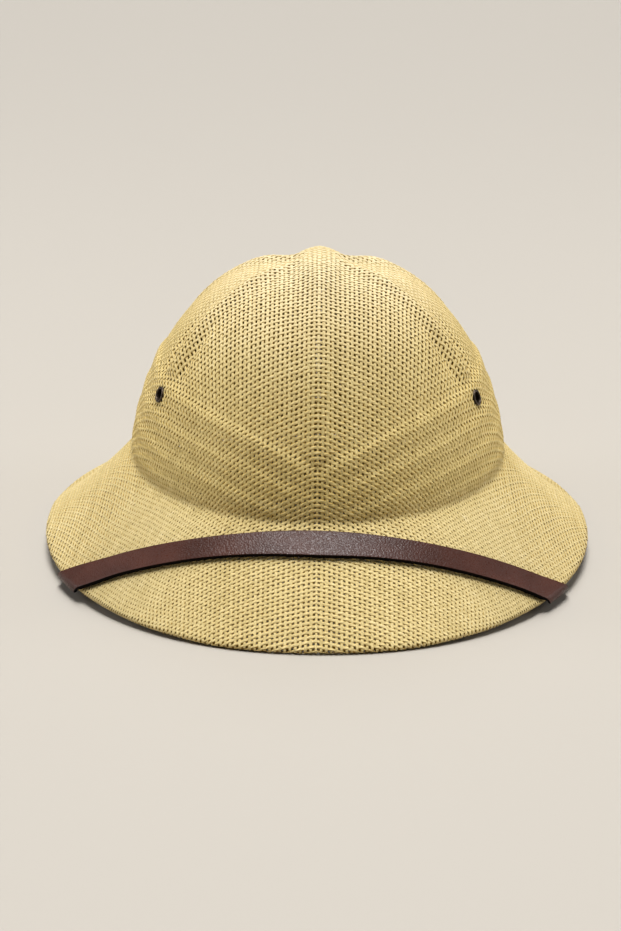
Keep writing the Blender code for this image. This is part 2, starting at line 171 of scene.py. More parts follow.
def crownPoint(azimuth, lift):
    share = np.maximum(0, np.cos(lift)) ** (2 / hat["crownSidePower"])
    low = junctionHeight(azimuth)
    plan = crownPlan(azimuth) * share[..., None]
    height = low + (hat["top"] - low) * np.sin(lift) ** (2 / hat["crownHeightPower"])
    return np.concatenate([plan, height[..., None]], -1), share


def brimPoint(azimuth, share):
    start, end = crownPlan(azimuth), rimPlan(azimuth)
    startZ, endZ = junctionHeight(azimuth), rimHeight(azimuth) + hat["hemHeight"]
    atFront = np.cos(azimuth) ** 2
    reach, drop = (s + (f - s) * atFront for f, s in zip(hat["brimDrawFront"], hat["brimDrawSide"]))
    middle, middleZ = start + (end - start) * reach[..., None], startZ + (endZ - startZ) * drop
    a, b, c = (np.concatenate([p, z[..., None]], -1) for p, z in ((start, startZ), (middle, middleZ), (end, endZ)))
    t = share[..., None]
    return a * (1 - t) ** 2 + b * 2 * t * (1 - t) + c * t**2


def smoothStep(x):
    x = np.clip(x, 0, 1)
    return x * x * (3 - 2 * x)


def ribRelief(azimuth, share):
    turn, half, pace, deep = (np.zeros_like(azimuth) for i in range(4))
    angles = np.radians(hat["ribAngles"])
    shares = hat["grooveShares"]
    for k in range(len(angles) - 1):
        first, second = angles[k], angles[k + 1]
        middle = (first + second) / 2
        for rib, low, high, depth in ((first, first, middle, shares[k]), (second, middle, second, shares[k + 1])):
            inside = (azimuth >= low) & (azimuth < high)
            turn[inside] = np.abs(azimuth - rib)[inside]
            half[inside], deep[inside] = (second - first) / 2, depth
            pace[inside] = math.hypot(hat["crownHalfWidth"] * math.cos(rib), hat["crownHalfLength"] * math.sin(rib))
    before = azimuth < 0
    turn[before], half[before] = -azimuth[before], angles[1] / 2
    pace[before], deep[before] = hat["crownHalfWidth"], shares[0]
    widest = hat["ribEnd"]
    perMetre = np.minimum(1 / (pace * np.maximum(share, 1e-3)), hat["ribShareOfPanel"] * half / widest)
    offset = np.minimum(turn / perMetre, 1.0)
    place, width = hat["ribGroove"]
    start, reach = hat["grooveStart"]
    deep = deep * smoothStep((share - start) / reach)
    relief = np.exp(-((offset / hat["ribSwell"]) ** 2)) - deep * np.exp(-(((offset - place) / width) ** 2))
    place, width, crease, height = hat["frontPleat"]
    pleat = np.exp(-(((offset - place) / width) ** 2)) - np.exp(-((offset / crease) ** 2))
    atFront = (azimuth < angles[1] / 2) * smoothStep((share - 0.45) / 0.25)
    return relief * hat["ribHeight"] + pleat * height * atFront


def bandRelief(depth):
    xs, ys = [], []
    ends = hat["pleatDepths"][1:] + (hat["bandSide"] - hat["sideJunction"],)
    for start, height, end in zip(hat["pleatDepths"], hat["pleatHeights"], ends):
        crest = start + hat["pleatStep"]
        xs += [start, crest, (crest + end) / 2]
        ys += [hat["pleatTail"] if start else 0.0, height, height * hat["pleatMiddle"]]
    return np.interp(depth, xs + [ends[-1]], ys + [hat["pleatTail"]])


def crownRelief(azimuth, height, share, plan):
    low, band = junctionHeight(azimuth), bandHeight(azimuth)
    above = np.maximum(height - low, 1e-6)
    fade = np.minimum(1, above / hat["pleatFade"])
    nominal = np.where(above < hat["pleatFade"], hat["pleatFade"] * (1 + np.log(fade)), above)
    kept, reach = hat["pleatMeet"]
    meet = kept + (1 - kept) * smoothStep(np.abs(azimuth) / math.radians(reach))
    pleats = bandRelief(np.clip(band - low - nominal, 0, None)) * fade * meet
    boss = np.exp(-np.linalg.norm(plan / hat["bossReach"], axis=-1) ** hat["bossPower"])
    ribs = ribRelief(azimuth, share) * smoothStep((height - band) / hat["ribStart"]) * (1 - boss)
    start, end = hat["sinkWay"]
    out = np.linalg.norm(plan, axis=-1)
    place, half, swell = hat["ribHumps"]
    ribs = ribs * (1 + swell * np.exp(-(((out - place) / half) ** 2)))
    sink = hat["topSink"] * (1 - smoothStep((out - start) / (end - start)))
    return np.where(height > band, ribs + boss * (hat["bossHeight"] + hat["topSink"]), pleats) - sink


def smoothAlong(values, passes):
    for i in range(passes):
        inner = values[:, 1:-1] / 2 + (values[:, 2:] + values[:, :-2]) / 4
        values = np.concatenate([values[:, :1], inner, values[:, -1:]], 1)
    return values


def gridNormals(points):
    round_, down = np.gradient(points, axis=0), np.gradient(points, axis=1)
    normal = np.cross(down, round_)
    length = np.linalg.norm(normal, axis=-1, keepdims=True)
    flat = length[..., 0] < 1e-12
    normal = normal / np.maximum(length, 1e-12)
    normal[flat] = (0, 0, 1)
    normal[:, :4] = (0, 0, 1)
    return normal


def layForm():
    over = form["overTurn"]
    azimuth = np.radians(np.linspace(-over, 90 + over, form["azimuthCells"] + 1))
    lift = np.linspace(math.pi / 2, 0, 701)
    wide = np.repeat(azimuth[:, None], len(lift), 1)
    crown, share = crownPoint(wide, np.repeat(lift[None], len(azimuth), 0))
    relief = crownRelief(wide, crown[..., 2], share, crown[..., :2])
    way = np.linspace(0, 1, 261)[1:]
    brim = brimPoint(np.repeat(azimuth[:, None], len(way), 1), np.repeat(way[None], len(azimuth), 0))
    points = np.concatenate([crown, brim], 1)
    steps = np.linalg.norm(np.diff(points, axis=1), axis=-1)
    run = np.concatenate([np.zeros((len(azimuth), 1)), np.cumsum(steps, 1)], 1)
    rimRun, junctionRun = run[:, -1].copy(), run[:, len(lift) - 1].copy()
    onward = points[:, -1] - points[:, -2]
    onward /= np.linalg.norm(onward, axis=-1, keepdims=True)
    points = np.concatenate([points, points[:, -1:] + onward[:, None] * 0.04], 1)
    run = np.concatenate([run, run[:, -1:] + 0.04], 1)
    relief = np.concatenate([relief, np.zeros((len(azimuth), len(way) + 1))], 1)
    share = np.concatenate([share, np.ones((len(azimuth), len(way) + 1))], 1)
    runs = np.linspace(0, form["runEnd"], form["runCells"] + 1)
    smooth = np.zeros((len(azimuth), len(runs), 3))
    pressed, lean = np.zeros((2,) + smooth.shape[:2])
    for i in range(len(azimuth)):
        for k in range(3):
            smooth[i, :, k] = np.interp(runs, run[i], points[i, :, k])
        pressed[i] = np.interp(runs, run[i], relief[i])
        lean[i] = np.interp(runs, run[i], 1 - share[i]) * hat["topShift"]
    crease = np.exp(-(((runs[None] - junctionRun[:, None]) / form["creaseWidth"]) ** 2))[..., None]
    smooth = smooth * (1 - crease) + smoothAlong(smooth, form["creaseSmoothing"]) * crease
    raised = smooth + gridNormals(smooth) * smoothAlong(pressed, form["reliefSmoothing"])[..., None]
    normal = gridNormals(raised)
    middle = raised - normal * weave["depth"]
    return azimuth, runs, smooth, middle, normal, lean, rimRun


azimuths, runs, smoothForm, clothForm, clothNormal, clothLean, rimRun = layForm()
print("form laid: front %.1f mm, side %.1f mm from the top to the rim" % (np.interp(0, azimuths, rimRun) * 1000, np.interp(math.pi / 2, azimuths, rimRun) * 1000))


def lookUp(table, azimuth, run):
    a = np.clip((azimuth - azimuths[0]) / (azimuths[-1] - azimuths[0]), 0, 1) * (len(azimuths) - 1)
    b = np.clip(run / runs[-1], 0, 1) * (len(runs) - 1)
    i, j = np.minimum(a.astype(int), len(azimuths) - 2), np.minimum(b.astype(int), len(runs) - 2)
    fa, fb = a - i, b - j
    if table.ndim == 3:
        fa, fb = fa[..., None], fb[..., None]
    return (table[i, j] * (1 - fa) + table[i + 1, j] * fa) * (1 - fb) + (table[i, j + 1] * (1 - fa) + table[i + 1, j + 1] * fa) * fb


def formAt(flat):
    azimuth = np.arctan2(flat[..., 0], np.maximum(flat[..., 1], 1e-9))
    return lookUp(smoothForm, azimuth, np.hypot(flat[..., 0], flat[..., 1]))


def layCloth():
    # a quarter of the cloth as a lattice: every crossing lies one pitch from its neighbours on the form
    a, b, end = weave["lengthwisePitch"], weave["crosswisePitch"], form["runEnd"]
    ni, nj = int(end / a) + 2, int(end / b) + 2
    flat = np.full((ni, nj, 2), np.nan)
    flat[:, 0, 0], flat[:, 0, 1] = np.arange(ni) * a, 0
    flat[0, :, 0], flat[0, :, 1] = 0, np.arange(nj) * b
    step = 2e-4
    for diagonal in range(2, ni + nj - 1):
        i = np.arange(max(1, diagonal - nj + 1), min(ni, diagonal))
        j = diagonal - i
        known = np.isfinite(flat[i - 1, j, 0] + flat[i, j - 1, 0])
        i, j = i[known], j[known]
        beside, before = formAt(flat[i - 1, j]), formAt(flat[i, j - 1])
        new = flat[i - 1, j] + flat[i, j - 1] - flat[i - 1, j - 1]
        for k in range(8):
            point = formAt(new)
            perX = (formAt(new + (step, 0)) - formAt(new - (step, 0))) / (2 * step)
            perY = (formAt(new + (0, step)) - formAt(new - (0, step))) / (2 * step)
            toBeside, toBefore = point - beside, point - before
            missA, missB = (toBeside**2).sum(-1) - a * a, (toBefore**2).sum(-1) - b * b
            ax, ay = 2 * (toBeside * perX).sum(-1), 2 * (toBeside * perY).sum(-1)
            bx, by = 2 * (toBefore * perX).sum(-1), 2 * (toBefore * perY).sum(-1)
            det = ax * by - ay * bx
            det = np.where(np.abs(det) < 1e-9, 1e-9, det)
            move = np.stack([missA * by - missB * ay, missB * ax - missA * bx], -1) / det[:, None]
            reach = np.linalg.norm(move, axis=-1, keepdims=True)
            new = np.maximum(new - move * np.minimum(1, 0.0015 / np.maximum(reach, 1e-12)), 0)
        new[np.linalg.norm(new, axis=-1) > end] = np.nan
        flat[i, j] = new
    outside = ~np.isfinite(flat[..., 0])
    flat[outside] = 1.5 * end
    return flat


def clothAt(flat):
    # middle of the cloth, its normal and how far it is turned under, from the flat place of a thread
    right, front = np.where(flat[..., 0] < 0, -1.0, 1.0), np.where(flat[..., 1] < 0, -1.0, 1.0)
    azimuth, run = np.arctan2(np.abs(flat[..., 0]), np.abs(flat[..., 1])), np.hypot(flat[..., 0], flat[..., 1])
    rim = np.interp(azimuth, azimuths, rimRun)
    over = run - rim
    held = np.minimum(run, rim)
    point, normal, lean = (lookUp(table, azimuth, held) for table in (clothForm, clothNormal, clothLean))
    back = lookUp(clothForm, azimuth, held - 0.0010)
    onward = (point - back) / np.maximum(np.linalg.norm(point - back, axis=-1, keepdims=True), 1e-9)
    radius = weave["foldRadius"]
    turn = np.clip(over / radius, 0, math.pi)[..., None]
    straight = np.maximum(over - math.pi * radius, 0)[..., None]
    point = point + np.where(turn > 0, radius * (normal * (np.cos(turn) - 1) + onward * np.sin(turn)) - onward * straight, 0)
    normal = normal * np.cos(turn) + onward * np.sin(turn)
    point[..., 1] = point[..., 1] + lean * front  # the top leans back on both halves
    point *= np.stack([right, front, np.ones_like(right)], -1)
    start, reach = hat["backDropFrom"]
    low, rise, high, fall = hat["backDropHeights"]
    held = smoothStep((point[..., 2] - low) / rise) * (1 - smoothStep((point[..., 2] - high) / fall))
    point[..., 2] -= hat["backDrop"] * held * smoothStep((point[..., 1] - start) / reach)
    normal = normal * np.stack([right, front, np.ones_like(right)], -1)
    return point, normal, over


quarter = layCloth()
print("cloth laid:", quarter.shape[:2])


def wholeCloth():
    # the quarter mirrored to all four, as places on the flat plane of azimuth and run
    x, y = quarter[..., 0], quarter[..., 1]
    x = np.concatenate([-x[:0:-1], x], 0)
    y = np.concatenate([y[:0:-1], y], 0)
    x = np.concatenate([x[:, :0:-1], x], 1)
    y = np.concatenate([-y[:, :0:-1], y], 1)
    run = np.abs(y)
    start, end = weave["kinkFrom"], weave["kinkTo"]
    held = smoothStep((run - start[0]) / start[1]) * (1 - weave["kinkLost"] * smoothStep((run - end[0]) / end[1]))
    drop = weave["kinkDrop"] * (1 - np.exp(-np.hypot(x, weave["kinkRound"]) / weave["kinkWidth"]))
    return np.stack([x, y + np.sign(y) * held * drop], -1)


def wander(rng, count, length, reach):
    # smooth random values along each yarn
    knots = rng.normal(size=(count, length // reach + 3))
    place = np.arange(length) / reach
    cell = place.astype(int)
    way = smoothStep(place - cell)
    return knots[:, cell] * (1 - way) + knots[:, cell + 1] * way


eyelet = {
    "angles": {"front_right": 61.0, "rear_right": 119.0, "rear_left": 241.0, "front_left": 299.0},
    "belowBand": 0.0075,
    "hole": 0.0029,
    "barrel": 0.0031,
    "flange": 0.0041,
    "lip": 0.0,
    "flangeHeight": 0.0006,
    "innerFlange": 0.0040,
    "innerFlangeHeight": 0.0006,
    "clearance": 0.0008,
    "clothHole": 0.0036,
    "segments": 40,
    "rollSteps": 9,
}


def crownAt(azimuth, lift):
    point, share = crownPoint(np.array(float(azimuth)), np.array(float(lift)))
    return Vector(point) + Vector((0, hat["topShift"] * (1 - float(share)), 0))


def liftAtHeight(azimuth, z):
    low = float(junctionHeight(azimuth))
    return math.asin(min(1.0, max(0.0, (z - low) / (hat["top"] - low))) ** (hat["crownHeightPower"] / 2))


def normalOf(base, azimuth, along):
    step = 1e-4
    along = min(max(along, step), math.pi / 2 - step)
    roundIt = base(azimuth + step, along) - base(azimuth - step, along)
    downIt = base(azimuth, along + step) - base(azimuth, along - step)
    return (-downIt if base is crownAt else downIt).cross(roundIt).normalized()


def eyeletSeat(angle):
    azimuth = math.radians(angle)
    height = float(bandHeight(azimuth)) - eyelet["belowBand"]
    lift = liftAtHeight(azimuth, height)
    base, normal = crownAt(azimuth, lift), normalOf(crownAt, azimuth, lift)
    crest = hat["pleatHeights"][0]
    fall = crest * (hat["pleatMiddle"] - 1) / ((hat["pleatDepths"][1] - hat["pleatStep"]) / 2)
    relief = crest + fall * (eyelet["belowBand"] - hat["pleatStep"])
    along = (crownAt(azimuth, liftAtHeight(azimuth, height - 0.001)) - base).normalized()
    return base + normal * relief, (normal - along * fall).normalized()


def yarnRuns(flat, girth, halfWidth, over, offset, rng):
    # splits each yarn where the cloth ends and at the eyelet holes; gives chains of points with their values
    count, length = flat.shape[:2]
    point, normal, past = clothAt(flat)
    end = math.pi * weave["foldRadius"] + weave["foldBack"]
    atFold = smoothStep((past + 0.0020) / 0.0020)
    slack = np.clip(girth / halfWidth, 0, 1) ** 4  # yarns that crowd lie flatter
    girth = girth * (1 + (weave["foldGirth"] - 1) * atFold)
    place = point + normal * ((offset + weave["rise"] * over) * slack)[..., None]
    room = end - past
    for angle in eyelet["angles"].values():
        seat, axis = eyeletSeat(angle)
        to = place - np.array(seat)
        depth = to @ np.array(axis)
        fromAxis = np.linalg.norm(to - depth[..., None] * np.array(axis), axis=-1) - eyelet["clothHole"]
        near = np.abs(depth) < 0.006
        room = np.where(near, np.minimum(room, fromAxis), room)
        girth = np.where(near, girth * (0.55 + 0.45 * smoothStep(fromAxis / 0.0012)), girth)
    tone = rng.random(count)
    chains = []
    for k in range(count):
        inside = room[k] > 0
        edges = np.flatnonzero(np.diff(inside.astype(int)))
        starts = [0] if inside[0] else []
        for first, last in zip(starts + [e + 1 for e in edges if not inside[e]], [e for e in edges if inside[e]] + [length - 1]):
            if last - first < 2:
                continue
            rows = np.arange(first, last + 1)
            values = np.concatenate([place[k], normal[k], girth[k][:, None]], -1)
            chain = [values[rows]]
            if first > 0:
                share = room[k, first] / (room[k, first] - room[k, first - 1])
                if share > 0.15:
                    chain.insert(0, (values[first] + (values[first - 1] - values[first]) * share)[None])
            if last < length - 1:
                share = room[k, last] / (room[k, last] - room[k, last + 1])
                if share > 0.15:
                    chain.append((values[last] + (values[last + 1] - values[last]) * share)[None])
            chains.append((k, tone[k], np.concatenate(chain)))
    return chains


def weaveYarns():
    flat = wholeCloth()
    rng = np.random.default_rng(weave["seed"])
    point, normal, past = clothAt(flat)
    eu, ev = np.gradient(point, axis=0), np.gradient(point, axis=1)
    area = np.linalg.norm(np.cross(eu, ev), axis=-1)
    ni, nj = flat.shape[:2]
    sign = np.where((np.add.outer(np.arange(ni), np.arange(nj)) % 2) == 0, 1.0, -1.0)
    result = []
    families = (
        ("lengthwise", flat, sign, area / (np.linalg.norm(ev, axis=-1) + 1e-9), weave["lengthwiseHalfWidth"], weave["lengthwiseOffset"]),
        ("crosswise", flat.swapaxes(0, 1), -sign.T, (area / (np.linalg.norm(eu, axis=-1) + 1e-9)).T, weave["crosswiseHalfWidth"], weave["crosswiseOffset"]),
    )
    for family, places, over, room, halfWidth, offset in families:
        count, crossings = places.shape[:2]
        places = places + np.stack([wander(rng, count, crossings, 5), wander(rng, count, crossings, 5)], -1) * weave["unevenPlace"]
        widest = halfWidth * (1 + weave["unevenGirth"] * wander(rng, count, crossings, 4))
        aside, depth, height = (point[..., k] if family == "lengthwise" else point[..., k].T for k in range(3))
        (start, reach), (wider, fuller) = weave["backFrom"], weave["backWider"]
        atBack = smoothStep((depth - start) / reach)
        widest = widest * (1 + wider * atBack)
        (start, reach), (below, fade) = weave["sideFrom"], weave["sideBelow"]
        atSide = smoothStep((np.abs(aside) - start) / reach) * smoothStep((below - height) / fade)
        offset = offset + weave["sideShift"][family == "crosswise"] * atSide
        if family == "lengthwise":
            widest = widest * (1 + weave["sideWider"] * atSide)
            start, reach = weave["columnsFrom"]
            held = smoothStep((places[..., 1] - start) / reach)
            for middle, half, change in weave["columns"]:
                widest = widest * (1 + change * held * np.exp(-(((places[..., 0] - middle) / half) ** 2)))
        girth = np.minimum(widest, room * (weave["mostOfPitch"] + fuller * atBack))
        length = 2 * crossings - 1
        fine = np.zeros((count, length, 2))
        fine[:, ::2], fine[:, 1::2] = places, (places[:, 1:] + places[:, :-1]) / 2
        fineOver = np.zeros((count, length))
        fineOver[:, ::2] = over
        fineGirth, fineOffset = np.zeros((2, count, length))
        fineGirth[:, ::2] = girth * np.where(over > 0, weave["overBulge"], 1.0)
        fineGirth[:, 1::2] = (girth[:, 1:] + girth[:, :-1]) / 2 * weave["diveWaist"]
        fineOffset[:, ::2], fineOffset[:, 1::2] = offset, (offset[:, 1:] + offset[:, :-1]) / 2
        result.append((family, yarnRuns(fine, fineGirth, halfWidth, fineOver, fineOffset, rng)))
    return result


families = weaveYarns()
for family, chains in families:
    print(family, "yarns:", len(chains), "points:", sum(len(c[2]) for c in chains))


def yarnNodes(sides, flatness):
    tree = bpy.data.node_groups.new("yarn", "GeometryNodeTree")
    tree.interface.new_socket("Geometry", in_out="INPUT", socket_type="NodeSocketGeometry")
    tree.interface.new_socket("Geometry", in_out="OUTPUT", socket_type="NodeSocketGeometry")

    def add(kind, **settings):
        node = tree.nodes.new(kind)
        for key, value in settings.items():
            if key in node.inputs:
                node.inputs[key].default_value = value
            else:
                setattr(node, key, value)
        return node

    def join(start, socket, end, name):
        tree.links.new(start.outputs[socket], end.inputs[name])

    given, made = add("NodeGroupInput"), add("NodeGroupOutput")
    line = add("GeometryNodeMeshToCurve")
    face = add("GeometryNodeSetCurveNormal", mode="FREE")
    up = add("GeometryNodeInputNamedAttribute", data_type="FLOAT_VECTOR", Name="up")
    girth = add("GeometryNodeInputNamedAttribute", data_type="FLOAT", Name="girth")
    ring = add("GeometryNodeCurvePrimitiveCircle", Resolution=sides, Radius=1.0)
    place = add("GeometryNodeInputPosition")
    keep = add("GeometryNodeStoreNamedAttribute", data_type="FLOAT_VECTOR", domain="POINT", Name="around")
    turnOver = add("GeometryNodeTransform", Rotation=(0.0, 0.0, math.pi))  # the flat side faces out
    flatten = add("GeometryNodeTransform", Scale=(flatness, 1.0, 1.0))
    sweep = add("GeometryNodeCurveToMesh")
    sweep.inputs["Fill Caps"].default_value = True
    join(given, 0, line, "Mesh")
    join(line, 0, face, "Curve")
    join(up, "Attribute", face, "Normal")
    join(ring, 0, turnOver, "Geometry")
    join(turnOver, 0, keep, "Geometry")
    join(place, 0, keep, "Value")
    join(keep, 0, flatten, "Geometry")
    join(face, 0, sweep, "Curve")
    join(flatten, 0, sweep, "Profile Curve")
    join(girth, "Attribute", sweep, "Scale")
    tree.links.new(sweep.outputs[0], made.inputs[0])
    return tree


def plainMesh(piece):
    # applies what is on the piece, so that a plain mesh is left
    graph = bpy.context.evaluated_depsgraph_get()
    mesh = bpy.data.meshes.new_from_object(piece.evaluated_get(graph), preserve_all_data_layers=True, depsgraph=graph)
    old = piece.data
    piece.modifiers.clear()
    piece.data = mesh
    bpy.data.meshes.remove(old)
    mesh.name = piece.name
    return mesh


def addPiece(name, mesh, material, slot, *nodes):
    piece = bpy.data.objects.new(name, mesh)
    bpy.context.scene.collection.objects.link(piece)
    mesh.materials.append(material)
    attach(piece, "root")
    if nodes:
        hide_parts(*nodes)
    return piece


def addYarns(name, chains, tree, material):
    mesh = bpy.data.meshes.new(name)
    points = np.concatenate([c[2] for c in chains])
    sizes = [len(c[2]) for c in chains]
    starts = np.cumsum([0] + sizes[:-1])
    edges = np.concatenate([np.stack([np.arange(s, s + n - 1), np.arange(s + 1, s + n)], -1) for s, n in zip(starts, sizes)])
    mesh.from_pydata(points[:, :3].tolist(), edges.tolist(), [])
    along = np.concatenate([np.concatenate([[0], np.cumsum(np.linalg.norm(np.diff(c[2][:, :3], axis=0), axis=-1))]) for c in chains])
    tone = np.repeat([c[1] for c in chains], sizes)
    for key, kind, field, values in (
        ("up", "FLOAT_VECTOR", "vector", points[:, 3:6]),
        ("girth", "FLOAT", "value", points[:, 6]),
        ("along", "FLOAT", "value", along),
        ("tone", "FLOAT", "value", tone),
    ):
        mesh.attributes.new(key, kind, "POINT").data.foreach_set(field, np.ascontiguousarray(values, np.float32).ravel())
    piece = addPiece(name, mesh, material, "straw", "shell")
    piece.modifiers.new("yarn", "NODES").node_group = tree
    mesh = plainMesh(piece)
    mesh.materials.clear()
    mesh.materials.append(material)
    mesh.shade_smooth()
    mesh.calc_loop_triangles()
    print(name, len(mesh.loop_triangles), "triangles")
    return piece


def nodeTree(material):
    material.use_nodes = True
    tree = material.node_tree

    def add(kind, **settings):
        node = tree.nodes.new(kind)
        for key, value in settings.items():
            if key in node.inputs:
                node.inputs[key].default_value = value
            else:
                setattr(node, key, value)
        return node

    def join(start, socket, end, name):
        tree.links.new(start.outputs[socket], end.inputs[name])

    return tree.nodes["Principled BSDF"], add, join


def rampColours(ramp, stops):
    elements = ramp.color_ramp.elements
    while len(elements) > len(stops):
        elements.remove(elements[-1])
    while len(elements) < len(stops):
        elements.new(1.0)
    for element, (place, colour) in zip(elements, stops):
        element.position = place
        element.color = (*colour, 1.0)


straw = {
    "darkYarn": (0.568, 0.430, 0.170),
    "lightYarn": (0.792, 0.632, 0.297),
    "paleFleck": (0.938, 0.805, 0.483),
    "sheen": 0.06,
    "paintedTurnLight": (  # painted light and shade round the yarn: the inner face and flanks painted darker and browner for the shade inside the hat and between the yarns, the top painted paler as a highlight
        (0.325, (0.40, 0.270, 0.100)),
        (0.600, (0.80, 0.650, 0.265)),
        (0.880, (1.015, 1.03, 1.11)),
    ),
    "paintedHeightLight": (  # by height: painted light and shade, the crown's lower and middle parts painted darker and yellower, its top painted paler as a highlight
        (0.040, (0.98, 0.97, 0.90)),
        (0.056, (0.95, 0.92, 0.74)),
        (0.090, (0.96, 0.935, 0.80)),
        (0.113, (0.91, 0.895, 0.815)),
        (0.130, (0.975, 0.975, 1.01)),
        (0.146, (1.03, 1.06, 1.24)),
    ),
    "sideShade": (0.82, 0.82, 0.835),  # painted shade: the brim's sides are painted darker
    "sideShadeFrom": (0.035, 0.110),
    "sideShadeBelow": (0.062, 0.046),
    "roughness": 0.75,
    "specular": 0.18,
    "twistPerMetre": 2 * math.pi / 0.0032,
    "bump": 0.00012,
}


def strawMaterial():
    material = bpy.data.materials.new("natural straw yarn")
    shader, add, join = nodeTree(material)
    tone = add("ShaderNodeAttribute", attribute_name="tone")
    along = add("ShaderNodeAttribute", attribute_name="along")
    around = add("ShaderNodeAttribute", attribute_name="around")
    split = add("ShaderNodeSeparateXYZ")
    join(around, "Vector", split, "Vector")
    angle = add("ShaderNodeMath", operation="ARCTAN2")
    tree = material.node_tree
    tree.links.new(split.outputs["Y"], angle.inputs[0])
    tree.links.new(split.outputs["X"], angle.inputs[1])
    turns = add("ShaderNodeMath", operation="MULTIPLY_ADD")
    tree.links.new(along.outputs["Fac"], turns.inputs[0])
    turns.inputs[1].default_value = straw["twistPerMetre"]
    doubled = add("ShaderNodeMath", operation="MULTIPLY")
    tree.links.new(angle.outputs[0], doubled.inputs[0])
    doubled.inputs[1].default_value = 3.0
    tree.links.new(doubled.outputs[0], turns.inputs[2])
    ply = add("ShaderNodeMath", operation="SINE")
    tree.links.new(turns.outputs[0], ply.inputs[0])
    place = add("ShaderNodeTexCoord")
    slub = add("ShaderNodeTexNoise", Scale=260.0, Detail=4.0, Roughness=0.6)
    join(place, "Object", slub, "Vector")
    patch = add("ShaderNodeTexNoise", Scale=16.0, Detail=3.0, Roughness=0.5)
    join(place, "Object", patch, "Vector")
    fibre = add("ShaderNodeTexNoise", Scale=1500.0, Detail=3.0, Roughness=0.7)
    join(place, "Object", fibre, "Vector")

    def mixed(first, second, share):
        node = add("ShaderNodeMath", operation="MULTIPLY_ADD")
        tree.links.new(first, node.inputs[0])
        node.inputs[1].default_value = share
        tree.links.new(second, node.inputs[2])
        return node.outputs[0]

    level = mixed(slub.outputs["Fac"], tone.outputs["Fac"], 3.0)
    level = mixed(patch.outputs["Fac"], level, 3.0)
    level = mixed(fibre.outputs["Fac"], level, 3.0)
    ramp = add("ShaderNodeValToRGB")
    spread = add("ShaderNodeMapRange")
    spread.inputs["From Min"].default_value = 3.2
    spread.inputs["From Max"].default_value = 7.4
    tree.links.new(level, spread.inputs["Value"])
    rampColours(ramp, ((0.0, straw["darkYarn"]), (0.62, straw["lightYarn"]), (1.0, straw["paleFleck"])))
    tree.links.new(spread.outputs[0], ramp.inputs["Fac"])
    # painted shade on the yarn's inner face and flanks and a painted highlight on its top, by how far round the yarn
    # faces out
    outward = add("ShaderNodeMath", operation="MULTIPLY_ADD")
    outward.inputs[1].default_value = outward.inputs[2].default_value = 0.5
    tree.links.new(split.outputs["X"], outward.inputs[0])
    paintedTurnRamp = add("ShaderNodeValToRGB")
    rampColours(paintedTurnRamp, straw["paintedTurnLight"])
    tree.links.new(outward.outputs[0], paintedTurnRamp.inputs["Fac"])
    spot = add("ShaderNodeSeparateXYZ")
    join(place, "Object", spot, "Vector")
    height = add("ShaderNodeMath", operation="MULTIPLY")
    height.inputs[1].default_value = 5.0
    tree.links.new(spot.outputs["Z"], height.inputs[0])
    # painted shade low on the crown and a painted highlight at its top, by height
    paintedHeightRamp = add("ShaderNodeValToRGB")
    rampColours(paintedHeightRamp, [(z * 5.0, colour) for z, colour in straw["paintedHeightLight"]])
    tree.links.new(height.outputs[0], paintedHeightRamp.inputs["Fac"])

    # painted shade on the brim's sides, low down and away from the middle
    aside = add("ShaderNodeMath", operation="ABSOLUTE")
    tree.links.new(spot.outputs["X"], aside.inputs[0])
    shares = []
    for value, (start, end) in ((aside.outputs[0], straw["sideShadeFrom"]), (spot.outputs["Z"], straw["sideShadeBelow"])):
        share = add("ShaderNodeMapRange", interpolation_type="SMOOTHSTEP")
        tree.links.new(value, share.inputs["Value"])
        share.inputs["From Min"].default_value, share.inputs["From Max"].default_value = min(start, end), max(start, end)
        share.inputs["To Min"].default_value, share.inputs["To Max"].default_value = (0.0, 1.0) if start < end else (1.0, 0.0)
        shares.append(share.outputs[0])
    both = add("ShaderNodeMath", operation="MULTIPLY")
    tree.links.new(shares[0], both.inputs[0])
    tree.links.new(shares[1], both.inputs[1])
    paintedSideShade = add("ShaderNodeMix", data_type="RGBA")
    paintedSideShade.inputs[6].default_value = (1.0, 1.0, 1.0, 1.0)
    paintedSideShade.inputs[7].default_value = (*straw["sideShade"], 1.0)
    tree.links.new(both.outputs[0], paintedSideShade.inputs[0])

    def multiplied(first, second):
        node = add("ShaderNodeMix", data_type="RGBA", blend_type="MULTIPLY")
        node.inputs[0].default_value = 1.0
        tree.links.new(first, node.inputs[6])
        tree.links.new(second, node.inputs[7])
        return node.outputs[2]

    colour = multiplied(multiplied(ramp.outputs["Color"], paintedHeightRamp.outputs["Color"]), paintedTurnRamp.outputs["Color"])
    tree.links.new(multiplied(colour, paintedSideShade.outputs[2]), shader.inputs["Base Color"])
    shader.inputs["Roughness"].default_value = straw["roughness"]
    shader.inputs["Specular IOR Level"].default_value = straw["specular"]
    shader.inputs["Sheen Weight"].default_value = straw["sheen"]
    shader.inputs["Sheen Roughness"].default_value = 0.4
    relief = mixed(fibre.outputs["Fac"], ply.outputs[0], 1.5)
    bump = add("ShaderNodeBump", Strength=0.5, Distance=straw["bump"])
    tree.links.new(relief, bump.inputs["Height"])
    join(bump, "Normal", shader, "Normal")
    return material


strawYarn = strawMaterial()
yarnTree = yarnNodes(weave["sides"], weave["flatness"])
pieceNames = {"lengthwise": ("left", "middle", "right"), "crosswise": ("back", "middle", "front")}
for family, chains in families:
    total = sum(len(c[2]) for c in chains)
    done, parts = 0, ([], [], [])
    for chain in chains:
        parts[min(2, int(3 * done / total))].append(chain)
        done += len(chain[2])
    for part, chainsOfPart in zip(pieceNames[family], parts):
        addYarns(f"straw_{family}_{part}", chainsOfPart, yarnTree, strawYarn)

